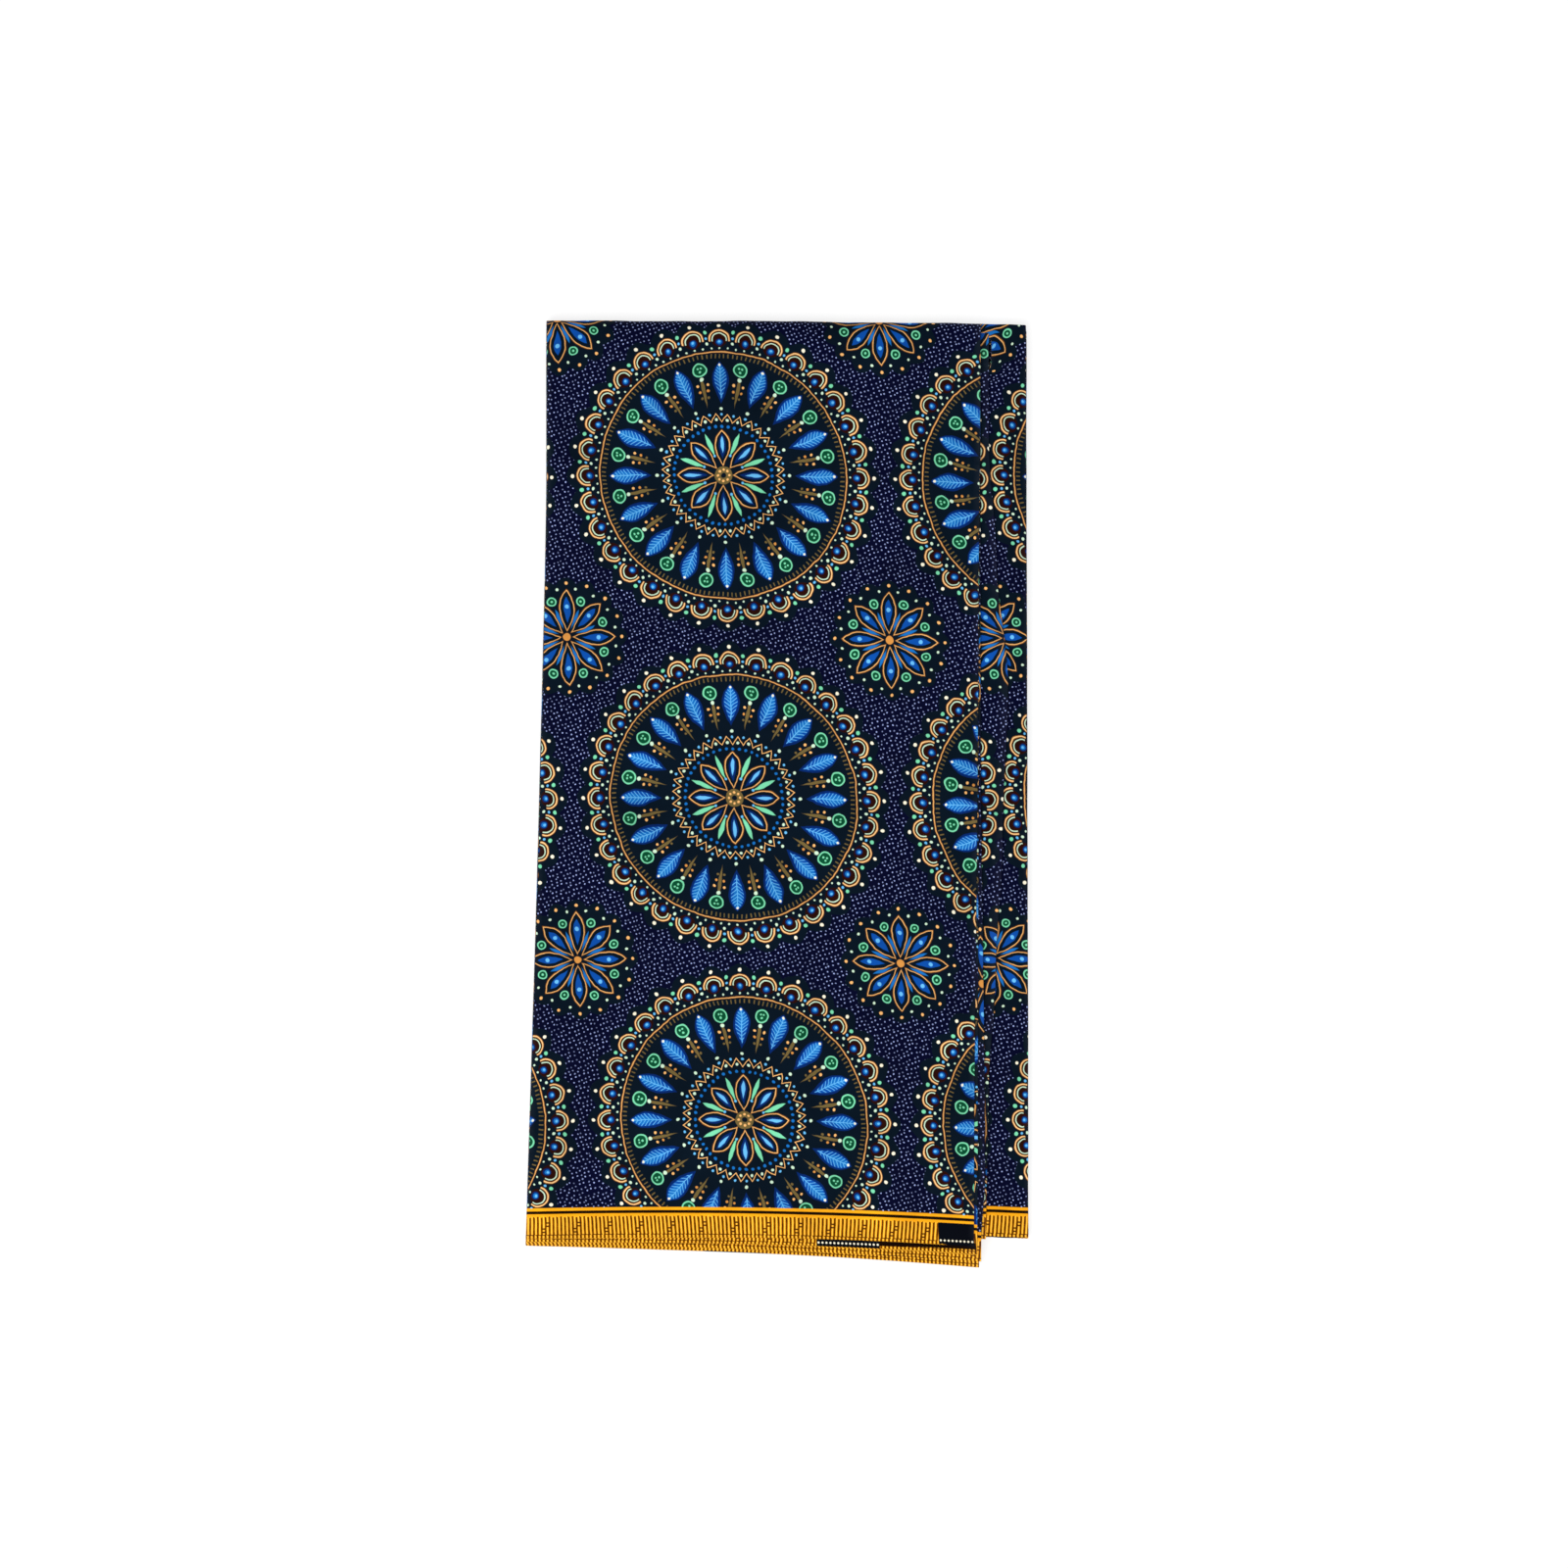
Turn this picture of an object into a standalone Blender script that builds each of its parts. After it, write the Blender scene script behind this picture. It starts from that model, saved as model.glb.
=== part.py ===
"""A length of printed cotton cloth, folded into a flat pack.

The cloth is pleated crosswise into panels one pack wide, and the pile of panels is then doubled once,
so every layer turns round one soft fold at the +Y end and the selvedges lie at the -Y end. The last
panels are narrower: four plies that fan out at their free corner, and a loose ply under them. The
layers that can't be seen are one rounded solid, with their folds as ridges round its edges.

Metres, +Z up. The pack rests on the XY plane. A place on it is given by `across`, from the left fold
towards +X, and `down`, from the top of the round fold towards -Y.
"""

import math

import bmesh
import bpy
from mathutils import Vector

MM = 0.001

# The pack
PANEL_WIDTH = 304.5 * MM
FRONT_WIDTH = 275.0 * MM
PACK_HEIGHT = 20.0 * MM
MID_HEIGHT = PACK_HEIGHT / 2
GAP = 0.3 * MM

# The plies, from the hidden layers outwards
LOOSE_WALL = 1.8 * MM
PLY_WALL = 1.0 * MM
PLY_COUNT = 4
COVER = LOOSE_WALL + PLY_COUNT * PLY_WALL + (PLY_COUNT + 1) * GAP

# The round fold: a flat ellipse in the middle, and every layer offset from it
CORE_REACH = 16.0 * MM
CORE_RISE = MID_HEIGHT - COVER
FOLD_REACH = CORE_REACH + COVER
FOLD_SLANT = 2.5 * MM
FOLD_SLANT_FROM = 0.2

# The left side leans outwards below the first stretch, and the right side a little
LEFT_LEAN = 13.0 * MM
LEAN_FROM = 105.0 * MM
LEAN_LENGTH = 475.0 * MM
LEAN_POWER = 1.2
RIGHT_LEAN = 1.2 * MM

# The top of the pack sinks towards its open end and rounds down at its sides
END_SINK = 3.0 * MM
END_SINK_FROM = 150.0 * MM
SIDE_SINK = 1.6 * MM
SIDE_SINK_WIDTH = 14.0 * MM

# Folds that show as ridges round the hidden layers
HIDDEN_LENGTH = 581.5 * MM
HIDDEN_RIDGES = 9
LOOSE_RIDGES = 2
RIDGE_DEPTH = 0.6 * MM
PLY_RIM_DEPTH = 0.2 * MM
RIDGE_WANDER = 0.5 * MM
END_WANDER = 0.9 * MM
WANDER_PHASE = 2.4
WANDER_SLOW_WAVE = 5.1
WANDER_QUICK_WAVE = 11.3

# Grid lines of every block
RUN_ROWS = 12
TURN_ROWS = 8
TURN_POWER = 1.5
LEDGE_ROWS = 2
SIDE_LINES = (0.0, 3.0 * MM, 7.0 * MM, SIDE_SINK_WIDTH)
MIDDLE_LINES = 8
WELD = 0.01 * MM

# Selvedge of each front ply: its distance below the round fold at four even steps across
SELVEDGES = {
    "front_ply": {"left": 581.0, "inner_left": 580.0, "inner_right": 581.4, "right": 585.5},
    "second_ply": {"left": 583.1, "inner_left": 584.0, "inner_right": 586.0, "right": 591.2},
    "third_ply": {"left": 584.7, "inner_left": 586.3, "inner_right": 589.8, "right": 595.8},
    "fourth_ply": {"left": 585.6, "inner_left": 588.0, "inner_right": 592.8, "right": 599.3},
}

# Right side of each front ply: how far it lies beyond the front panel's width
PLY_SIDES = {
    "front_ply": {"fold": 0.0, "middle": -1.6, "low": -4.0, "corner": -4.1},
    "second_ply": {"fold": -0.3, "middle": -1.1, "low": -1.7, "corner": -2.0},
    "third_ply": {"fold": -0.3, "middle": 0.0, "low": 3.0, "corner": 0.6},
    "fourth_ply": {"fold": -0.3, "middle": -0.4, "low": -0.5, "corner": -0.7},
}
PLY_SIDE_STEPS = {"fold": 0.0, "middle": 0.4, "low": 0.935, "corner": 1.0}

# Right side of the loose ply, which wanders: distance below the fold, and reach beyond the front panel
LOOSE_SIDE = (
    {"down": 0.0, "reach": 5.3},
    {"down": 75.0, "reach": 5.3},
    {"down": 150.0, "reach": 10.0},
    {"down": 231.0, "reach": 17.5},
    {"down": 330.0, "reach": 14.0},
    {"down": 417.0, "reach": 9.6},
    {"down": 485.0, "reach": 5.3},
    {"down": 582.0, "reach": 3.6},
)
LOOSE_LENGTH = 581.0 * MM
LOOSE_REACH_AT_FOLD = LOOSE_SIDE[0]["reach"] * MM
STEP_WIDTH = 1.4 * MM

NAVY = (0.012, 0.020, 0.050, 1.0)
BLUE_NAVY = (0.014, 0.028, 0.075, 1.0)
VIOLET_NAVY = (0.020, 0.018, 0.065, 1.0)
COTTON_ROUGHNESS = 0.72
SHARP_ANGLE = math.radians(40)


def clear_scene():
    """Removes every object, so that the pack is alone in the scene."""
    for thing in list(bpy.data.objects):
        bpy.data.objects.remove(thing, do_unlink=True)


def cotton(name, colour):
    """Matt cotton of one colour."""
    material = bpy.data.materials.new(name)
    material.use_nodes = True
    shader = material.node_tree.nodes["Principled BSDF"]
    shader.inputs["Base Color"].default_value = colour
    shader.inputs["Roughness"].default_value = COTTON_ROUGHNESS
    shader.inputs["Metallic"].default_value = 0.0
    return material


def ease(share):
    """Smooth step from 0 to 1."""
    share = min(max(share, 0.0), 1.0)
    return share * share * (3.0 - 2.0 * share)


def between(low, high, share):
    return low + (high - low) * share


def through(values, share):
    """Reads the one smooth curve through values that stand at even steps from 0 to 1."""
    place = share * (len(values) - 1)
    left = list(values)
    for span in range(1, len(values)):
        left = [
            between(left[index], left[index + 1], (place - index) / span) for index in range(len(left) - 1)
        ]
    return left[0]


def follow(steps, values, place):
    """Reads a line through values that stand at steps, level at each of them."""
    for index in range(len(steps) - 1):
        if place <= steps[index + 1]:
            share = (place - steps[index]) / (steps[index + 1] - steps[index])
            return between(values[index], values[index + 1], ease(share))
    return values[-1]


def fold_slant(across):
    """How far the round fold lies below its highest place, which is at its left end."""
    share = (across / PANEL_WIDTH - FOLD_SLANT_FROM) / (1.0 - FOLD_SLANT_FROM)
    return FOLD_SLANT * max(share, 0.0) ** 2


def left_side(down):
    share = max(down - LEAN_FROM, 0.0) / LEAN_LENGTH
    return -LEFT_LEAN * share**LEAN_POWER


def panel_side(down):
    return PANEL_WIDTH + RIGHT_LEAN * ease(down / HIDDEN_LENGTH)


def loose_side(down):
    steps = [row["down"] * MM for row in LOOSE_SIDE]
    values = [row["reach"] * MM for row in LOOSE_SIDE]
    return FRONT_WIDTH + follow(steps, values, down)


def ply_side(name, down):
    steps = list(PLY_SIDE_STEPS.values())
    values = [value * MM for value in PLY_SIDES[name].values()]
    return FRONT_WIDTH + follow(steps, values, down / HIDDEN_LENGTH)


def ply_selvedge(name, share):
    """Distance of a front ply's selvedge below the fold."""
    return through([value * MM for value in SELVEDGES[name].values()], share)


def sink(across, down, right):
    """How far the top of the pack lies below its full height."""
    end = END_SINK * ease((down - END_SINK_FROM) / (HIDDEN_LENGTH - END_SINK_FROM))
    from_left = (across - left_side(down)) / SIDE_SINK_WIDTH
    from_right = (right - across) / SIDE_SINK_WIDTH
    side = SIDE_SINK * (max(1.0 - from_left, 0.0) ** 2 + max(1.0 - from_right, 0.0) ** 2)
    return end + side


def turn_point(rise, offset, turn):
    """A place on the upper half of the fold: reach beyond its start, and height over its middle.

    turn runs from 0, where the cloth still lies flat, to 1, where it stands upright.
    """
    slope = (1.0 - turn**TURN_POWER) * math.pi / 2
    if turn == 0.0:
        return 0.0, rise + offset
    angle = math.atan(rise / CORE_REACH * math.tan(slope))
    reach = CORE_REACH * math.cos(angle) + offset * math.cos(slope)
    height = rise * math.sin(angle) + offset * math.sin(slope)
    return reach, height


def grid_lines(width, extra=()):
    """Shares of the width where the lines of a block lie, closer at its two sides."""
    near = [place / width for place in SIDE_LINES]
    step = (1.0 - 2 * near[-1]) / MIDDLE_LINES
    middle = [near[-1] + step * index for index in range(1, MIDDLE_LINES)]
    far = [1.0 - share for share in reversed(near)]
    return sorted(near + middle + far + list(extra))


def ridge(layer, depth):
    """How far a side stands back: the folds stand out at odd layers, the creases lie between them."""
    return depth if layer % 2 == 0 else 0.0


def wander(layer, share, size):
    """Slow in-and-out of one fold's edge along its length, always inwards."""
    phase = WANDER_PHASE * layer
    slow = math.sin(phase + WANDER_SLOW_WAVE * share)
    quick = math.sin(2 * phase + WANDER_QUICK_WAVE * share)
    return size * (0.5 + 0.3 * slow + 0.2 * quick)


def closed_block(name, material, point, rows, columns, layers):
    """Makes a block closed by six grids of point(row, column, layer)."""
    mesh = bmesh.new()
    made = {}

    def corner(row, column, layer):
        key = (row, column, layer)
        if key not in made:
            made[key] = mesh.verts.new(point(row, column, layer))
        return made[key]

    def face(keys):
        mesh.faces.new([corner(*key) for key in keys])

    for layer in (0, layers):
        for row in range(rows):
            for column in range(columns):
                face([(row, column, layer), (row + 1, column, layer),
                      (row + 1, column + 1, layer), (row, column + 1, layer)])
    for column in (0, columns):
        for row in range(rows):
            for layer in range(layers):
                face([(row, column, layer), (row + 1, column, layer),
                      (row + 1, column, layer + 1), (row, column, layer + 1)])
    for row in (0, rows):
        for column in range(columns):
            for layer in range(layers):
                face([(row, column, layer), (row, column + 1, layer),
                      (row, column + 1, layer + 1), (row, column, layer + 1)])
    bmesh.ops.remove_doubles(mesh, verts=mesh.verts, dist=WELD)
    bmesh.ops.recalc_face_normals(mesh, faces=mesh.faces)
    data = bpy.data.meshes.new(name)
    mesh.to_mesh(data)
    mesh.free()
    data.materials.append(material)
    data.shade_smooth()
    data.set_sharp_from_angle(angle=SHARP_ANGLE)
    thing = bpy.data.objects.new(name, data)
    bpy.context.scene.collection.objects.link(thing)
    return thing


def run_share(row):
    """How far along the flat run a row lies, from the selvedge to the start of the fold."""
    return min(row / RUN_ROWS, 1.0)


def turn_share(row, rows_of_turn=TURN_ROWS):
    """How far round the fold a row lies."""
    return min(max(row - RUN_ROWS, 0) / rows_of_turn, 1.0)


def cloth_wall(name, material, offset, wall, right_side, selvedge, ridges, rim_depth):
    """One stretch of cloth: flat from its selvedge, then round the fold to where that is widest."""
    lines = grid_lines(FRONT_WIDTH)
    layers = 2 * ridges

    def point(row, column, layer):
        share = lines[column]
        turn = turn_share(row)
        reach, height = turn_point(CORE_RISE - GAP, offset + wall * layer / layers, turn)
        bend_start = FOLD_REACH + fold_slant(share * FRONT_WIDTH)
        down = between(selvedge(share), bend_start, run_share(row)) - reach
        right = right_side(down)
        across = between(left_side(down), right, share)
        lowered = sink(across, down, right + SIDE_SINK_WIDTH) * (1.0 - turn)
        if column == 0:
            across += ridge(layer, rim_depth)
        if column == len(lines) - 1:
            across -= ridge(layer, rim_depth)
        return Vector((across, -down, MID_HEIGHT + GAP + height - lowered))

    return closed_block(name, material, point, RUN_ROWS + TURN_ROWS, len(lines) - 1, layers)


def hidden_layers(material):
    """All the layers that can't be seen, as one solid that lies flat on the ground."""
    covered = (FRONT_WIDTH + LOOSE_REACH_AT_FOLD + GAP) / PANEL_WIDTH
    uncovered = covered + STEP_WIDTH / PANEL_WIDTH
    lines = grid_lines(PANEL_WIDTH, extra=(covered, uncovered))
    nose_rows = TURN_ROWS + LEDGE_ROWS
    layers = 2 * HIDDEN_RIDGES

    def under(row):
        """Reach and height of the underside, which turns up at the fold."""
        reach, height = turn_point(CORE_RISE, COVER, turn_share(row, nose_rows))
        return reach, MID_HEIGHT - height

    def over(row, share):
        """Reach and height of the top, which leaves a ledge for the plies that cover it."""
        reach, height = turn_point(CORE_RISE, 0.0, turn_share(row))
        if share > covered:
            reach *= FOLD_REACH / CORE_REACH
        ledge = max(row - RUN_ROWS - TURN_ROWS, 0) / LEDGE_ROWS
        return between(reach, FOLD_REACH, ledge), MID_HEIGHT + height

    def point(row, column, layer):
        share = lines[column]
        height_share = layer / layers
        low_reach, low_height = under(row)
        high_reach, high_height = over(row, share)
        bend_start = FOLD_REACH + fold_slant(share * PANEL_WIDTH)
        run = run_share(row)
        down = between(HIDDEN_LENGTH, bend_start, run) - between(low_reach, high_reach, height_share)
        right = panel_side(down)
        across = between(left_side(down), right, share)
        lowered = sink(across, down, right) * (1.0 - turn_share(row))
        height = between(low_height, high_height - lowered, height_share)
        inward = ridge(layer, RIDGE_DEPTH) + wander(layer, run, RIDGE_WANDER)
        inward *= 1.0 - turn_share(row, nose_rows)
        if column == 0:
            across += inward
        if column == len(lines) - 1:
            across -= inward
        if row == 0:
            down -= ridge(layer, RIDGE_DEPTH) + wander(layer, share, END_WANDER)
        return Vector((across, -down, height))

    return closed_block("hidden_layers", material, point, RUN_ROWS + nose_rows, len(lines) - 1, layers)


def loose_ply(material):
    """The ply whose right side wanders out from under the front panel."""
    return cloth_wall(
        "loose_ply", material, GAP, LOOSE_WALL, loose_side, lambda share: LOOSE_LENGTH,
        LOOSE_RIDGES, RIDGE_DEPTH / 2,
    )


def front_plies(material):
    """The four plies of the front panel, from the lowest to the one on top."""
    plies = []
    for index, name in enumerate(reversed(SELVEDGES)):
        offset = GAP + LOOSE_WALL + GAP + index * (PLY_WALL + GAP)
        plies.append(cloth_wall(
            name, material, offset, PLY_WALL,
            lambda down, name=name: ply_side(name, down),
            lambda share, name=name: ply_selvedge(name, share),
            1, PLY_RIM_DEPTH,
        ))
    return plies


def centre(things):
    """Moves the meshes so that the pack's box is centred over the origin and stands on the ground."""
    places = [vertex.co for thing in things for vertex in thing.data.vertices]
    low = Vector([min(place[axis] for place in places) for axis in range(3)])
    high = Vector([max(place[axis] for place in places) for axis in range(3)])
    shift = Vector(((low.x + high.x) / 2, (low.y + high.y) / 2, low.z))
    for thing in things:
        for vertex in thing.data.vertices:
            vertex.co -= shift


def main():
    clear_scene()
    things = [hidden_layers(cotton("cotton_inside", VIOLET_NAVY))]
    things.append(loose_ply(cotton("cotton_loose", BLUE_NAVY)))
    things += front_plies(cotton("cotton_front", NAVY))
    centre(things)


main()
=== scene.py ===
import math

import bpy
import numpy as np
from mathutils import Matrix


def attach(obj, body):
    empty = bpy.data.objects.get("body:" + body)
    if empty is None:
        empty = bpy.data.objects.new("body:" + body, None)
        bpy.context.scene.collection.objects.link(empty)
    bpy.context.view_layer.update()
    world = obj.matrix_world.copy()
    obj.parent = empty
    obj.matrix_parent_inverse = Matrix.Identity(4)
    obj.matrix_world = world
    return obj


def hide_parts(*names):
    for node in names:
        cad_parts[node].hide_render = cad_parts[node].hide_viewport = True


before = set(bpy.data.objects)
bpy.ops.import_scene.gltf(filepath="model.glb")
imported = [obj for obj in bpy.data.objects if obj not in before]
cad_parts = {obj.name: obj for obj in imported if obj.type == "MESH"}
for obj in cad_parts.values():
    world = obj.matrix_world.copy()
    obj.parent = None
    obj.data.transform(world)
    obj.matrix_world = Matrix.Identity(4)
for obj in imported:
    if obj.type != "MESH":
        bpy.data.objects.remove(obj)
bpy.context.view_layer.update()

# A length of wax print cotton, pleated into panels and doubled over one round fold. Metres, +Z up.
# A place on the pack is `across`, from the left fold towards +X, and `down`, from the top of the round
# fold towards -Y. Each piece is one pleat: a flat tube of cloth, two plies high, that runs from its
# selvedges along the top of the pack, round the fold, and back along the bottom.

MM = 0.001
BODY = "root"
SLOT = "printed_cotton"

# Where the part's frame has the left fold and the top of the round fold
ACROSS_ORIGIN = -146.23 * MM
DOWN_ORIGIN = 299.65 * MM

# The pack, in the sizes of its solids
PANEL_WIDTH = 304.5 * MM
FRONT_WIDTH = 275.0 * MM
PACK_HEIGHT = 20.0 * MM
MID_HEIGHT = PACK_HEIGHT / 2
HIDDEN_HEIGHT = 12.7 * MM
HIDDEN_LENGTH = 581.5 * MM

# Where it turns at the round fold: the core of hidden layers, the plies that cover it, and how squarely
CORE_REACH = 16.0 * MM
CORE_RISE = HIDDEN_HEIGHT - MID_HEIGHT
COVER = MID_HEIGHT - CORE_RISE
FOLD_REACH = CORE_REACH + COVER
TURN_POWER = 1.5

# How much less far a layer reaches at the round fold, as a multiple of how deep it lies
HAIRPIN = 1.5
STRIP_TIGHTNESS = 1.3

# The slant of the round fold, from a share of the width on, and the lean of the pack's two sides
FOLD_SLANT = 2.5 * MM
FOLD_SLANT_FROM = 0.2
LEFT_LEAN = 13.0 * MM
LEAN_FROM = 105.0 * MM
LEAN_LENGTH = 475.0 * MM
LEAN_POWER = 1.2
RIGHT_LEAN = 1.2 * MM

# How far its top sinks towards the open end and beside its sides
END_SINK = 3.0 * MM
END_SINK_FROM = 150.0 * MM
SIDE_SINK = 1.6 * MM
SIDE_SINK_WIDTH = 14.0 * MM

# A right side so far off that the pack doesn't sink towards it
FAR_RIGHT = 1.0

# The cloth: its thickness, its length from selvedge to selvedge, the slant of its grain, and how far the
# wear reaches beside a fold
CLOTH = 0.36 * MM
CLOTH_LENGTH = 1168.0 * MM
GRAIN_SHEAR = 0.0326
WEAR_REACH = 2.4 * MM

# How finely the pleats are made
NOSE_STEPS = 5
TURN_ROWS = 24
TOP_CROWDING = 1.25
UNDER_SPARSENESS = 3
SHARP_ANGLE = math.radians(50)

# The inner side of the strip on the right: in millimetres on its top, by distance below the round fold,
# then underneath, and where it closes up to the front panel, between two places of its turn
STRIP_INNER = {0: 281.6, 28: 281.6, 44: 266.0, 582: 262.0}
STRIP_INNER_UNDER = 275.15 * MM
STRIP_CLOSED_UP = 274.2 * MM
STRIP_CLOSE_FROM = 0.5
STRIP_CLOSE_BY = 0.69

# How far the side folds wander, and the outermost pleats' share of that. The waves are in radians over
# the whole width or length, and from piece to piece.
EDGE_WANDER = 0.7 * MM
OUTER_SHARE = 0.35
WANDERS = (
    {"piece": 2.4, "along": 5.1, "share": 0.25},
    {"piece": 4.8, "along": 13.3, "share": 0.15},
    {"piece": 7.1, "along": 47.0, "share": 0.10},
)

# How far a pleat's outer ply falls short of its inner one at the open end, where the lower selvedges
# lie, and how far an overhang droops, by its square
PLY_LAG = 0.7 * MM
PLY_LAG_WANDER = 0.4 * MM
LAG_WAVE = {"across": 7.0, "piece": 2.0}
LOWER_SELVEDGE = 580.3 * MM
LOWER_WANDER = 1.1 * MM
LOWER_PHASE = 3
DROOP = 12.0

# Ripples of the round fold: wavelength across and size, in millimetres, and phase
FOLD_RIPPLES = (
    {"across": 118.0, "size": 0.22, "phase": 0.4},
    {"across": 43.0, "size": 0.12, "phase": 2.2},
    {"across": 19.0, "size": 0.06, "phase": 5.1},
)

# Selvedges, in millimetres below the round fold, at four even steps across
SELVEDGES = {
    "front": {"left": 581.0, "inner_left": 580.0, "inner_right": 581.4, "right": 585.5},
    "second": {"left": 583.1, "inner_left": 584.0, "inner_right": 586.0, "right": 591.2},
    "third": {"left": 584.7, "inner_left": 586.3, "inner_right": 589.8, "right": 595.8},
    "fourth": {"left": 585.6, "inner_left": 588.0, "inner_right": 592.8, "right": 599.3},
    "loose": {"left": 581.0, "inner_left": 581.0, "inner_right": 581.0, "right": 581.0},
    "hidden": {"left": 580.6, "inner_left": 579.8, "inner_right": 580.2, "right": 580.8},
}

# Right sides, in millimetres beyond the front panel's width, by distance below the round fold
SIDES = {
    "front": {0: 0.0, 233: -1.6, 544: -4.0, 582: -4.1},
    "second": {0: 0.0, 233: -1.1, 544: -1.7, 582: -2.0},
    "third": {0: 0.0, 233: 0.0, 544: 3.0, 582: 0.6},
    "fourth": {0: 0.0, 233: -0.4, 544: -0.5, 582: -0.7},
    "loose": {0: 5.3, 75: 5.3, 150: 10.0, 231: 17.5, 330: 14.0, 417: 9.6, 485: 5.3, 582: 3.6},
    "hidden": {0: -14.0, 582: -14.0},
}

# The pleats, from the top of the pack inwards: their edges, their depth below the top, their height and
# how far their print is moved across, all in millimetres, and how finely they are made
PLEATS = (
    {"name": "front_cloth", "node": "front_ply", "edge": "front", "depth": 0.0, "height": 1.0,
     "print": 0.0, "columns": 74, "rows": 150},
    {"name": "second_cloth", "node": "second_ply", "edge": "second", "depth": 1.3, "height": 1.0,
     "print": 77.4, "columns": 30, "rows": 60},
    {"name": "third_cloth", "node": "third_ply", "edge": "third", "depth": 2.6, "height": 1.0,
     "print": -52.0, "columns": 30, "rows": 60},
    {"name": "fourth_cloth", "node": "fourth_ply", "edge": "fourth", "depth": 3.9, "height": 1.0,
     "print": -160.0, "columns": 30, "rows": 60},
    {"name": "loose_cloth", "node": "loose_ply", "edge": "loose", "depth": 5.2, "height": 0.9,
     "print": -75.0, "columns": 40, "rows": 100},
    {"name": "loose_under_cloth", "node": "loose_ply", "edge": "loose", "depth": 6.15, "height": 0.85,
     "print": -110.0, "columns": 24, "rows": 60},
    {"name": "inner_cloth", "node": "hidden_layers", "edge": "hidden", "depth": 7.35, "height": 1.2,
     "print": -20.0, "columns": 16, "rows": 60},
    {"name": "core_cloth", "node": "hidden_layers", "edge": "hidden", "depth": 8.65, "height": 1.2,
     "print": -140.0, "columns": 16, "rows": 60},
)

# The pleats of the strip on the right, whose depth is below the strip's own top. The outer ones close up
# to the front panel where they stand upright.
STRIPS = (
    {"name": "strip_cloth", "depth": 0.0, "height": 1.1, "print": -58.0, "closes": 1.0,
     "columns": 16, "rows": 150},
    {"name": "strip_second_cloth", "depth": 1.27, "height": 1.1, "print": -90.0, "closes": 1.0,
     "columns": 8, "rows": 60},
    {"name": "strip_third_cloth", "depth": 2.54, "height": 1.1, "print": -10.0, "closes": 1.0,
     "columns": 8, "rows": 60},
    {"name": "strip_fourth_cloth", "depth": 3.81, "height": 1.1, "print": -180.0, "closes": 0.0,
     "columns": 8, "rows": 60},
    {"name": "strip_core_cloth", "depth": 5.08, "height": 1.1, "print": -35.0, "closes": 0.0,
     "columns": 8, "rows": 60},
)

# Slow swells of the pack's top: wavelengths across and down and height, in millimetres, and phase
SWELLS = (
    {"across": 310.0, "down": 420.0, "height": 0.34, "phase": 0.7},
    {"across": 143.0, "down": -260.0, "height": 0.22, "phase": 2.1},
    {"across": -96.0, "down": 171.0, "height": 0.15, "phase": 4.0},
)

# Creases of the front, as soft ridges (or troughs, below zero) from one place to another, in millimetres
CREASE_FADE = 0.5
CREASES = (
    {"from": (14, 150), "to": (92, 163), "height": 0.50, "width": 4.0},
    {"from": (60, 62), "to": (118, 48), "height": 0.34, "width": 4.4},
    {"from": (150, 96), "to": (262, 84), "height": -0.40, "width": 5.0},
    {"from": (186, 214), "to": (271, 236), "height": 0.48, "width": 3.6},
    {"from": (66, 243), "to": (171, 262), "height": 0.30, "width": 5.5},
    {"from": (3, 331), "to": (70, 322), "height": -0.40, "width": 4.4},
    {"from": (120, 372), "to": (243, 390), "height": 0.46, "width": 5.0},
    {"from": (38, 431), "to": (104, 418), "height": 0.32, "width": 3.8},
    {"from": (196, 470), "to": (268, 452), "height": 0.55, "width": 3.8},
    {"from": (8, 505), "to": (60, 530), "height": 0.45, "width": 3.6},
    {"from": (137, 40), "to": (139, 575), "height": 0.20, "width": 2.8},
)

# The studio. Its view is as wide as the photograph: so many pixels, each this wide on the cloth.
PHOTO_PIXELS = 1600
PIXEL = 0.62 * MM
VIEW_WIDTH = PHOTO_PIXELS * PIXEL
CAMERA_PLACE = (4.4 * MM, 6.1 * MM)
CAMERA_LENS = 200.0
DOME_STRENGTH = 0.62
LAMP_PLACE = (-0.5, -0.7, 2.5)
LAMP_SIZE = 1.8
LAMP_POWER = 52.0
FLOOR_SIZE = 60.0
FLOOR_DROP = 0.2 * MM
FLOOR_GLOW = 0.75
FLOOR_SHADE = 0.28
FLOOR_ROUGHNESS = 0.9
FLOOR_GLOSS = 0.0
WHITE = (1.0, 1.0, 1.0, 1.0)

# The print and the cloth's surface, in millimetres on the flat cloth: `over` across it, `up` along it
# and `edge` from the nearer selvedge. First the square that repeats, and the first rosette's middle.
REPEAT = 204.0
FIRST_OVER = 128.0
FIRST_UP = 74.0

# How a motif is drawn: the softness of its outline, how much fuller a leaf is towards its outer end, a
# leaf's veins, and how far an arch's feet come down, as a share of its radius
PRINT_SOFTNESS = 0.2
LEAF_FULLNESS = 0.35
VEIN_PITCH = 2.3
VEIN_LINE = 0.24
VEIN_SLANT = 0.8
ARCH_FOOT = 0.2

# How far the hand that drew it strays, in slow sways and in small nicks
HAND_SIZE = 16.0
HAND_DETAIL = 1.0
HAND_SHAKE = 1.8
CUT_SIZE = 3.2
CUT_SHAKE = 0.45

# The ground's dots: their pitch and radius, then shares of the pitch, the turn of their rows, and how
# strong the faintest and the brightest are
DOT_PITCH = 2.95
DOT_SIZE = 0.47
DOT_UNEVENNESS = 0.48
DOT_SOFTNESS = 0.06
DOT_TURN = 0.4
DOT_STRENGTH = (0.25, 1.2)

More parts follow.
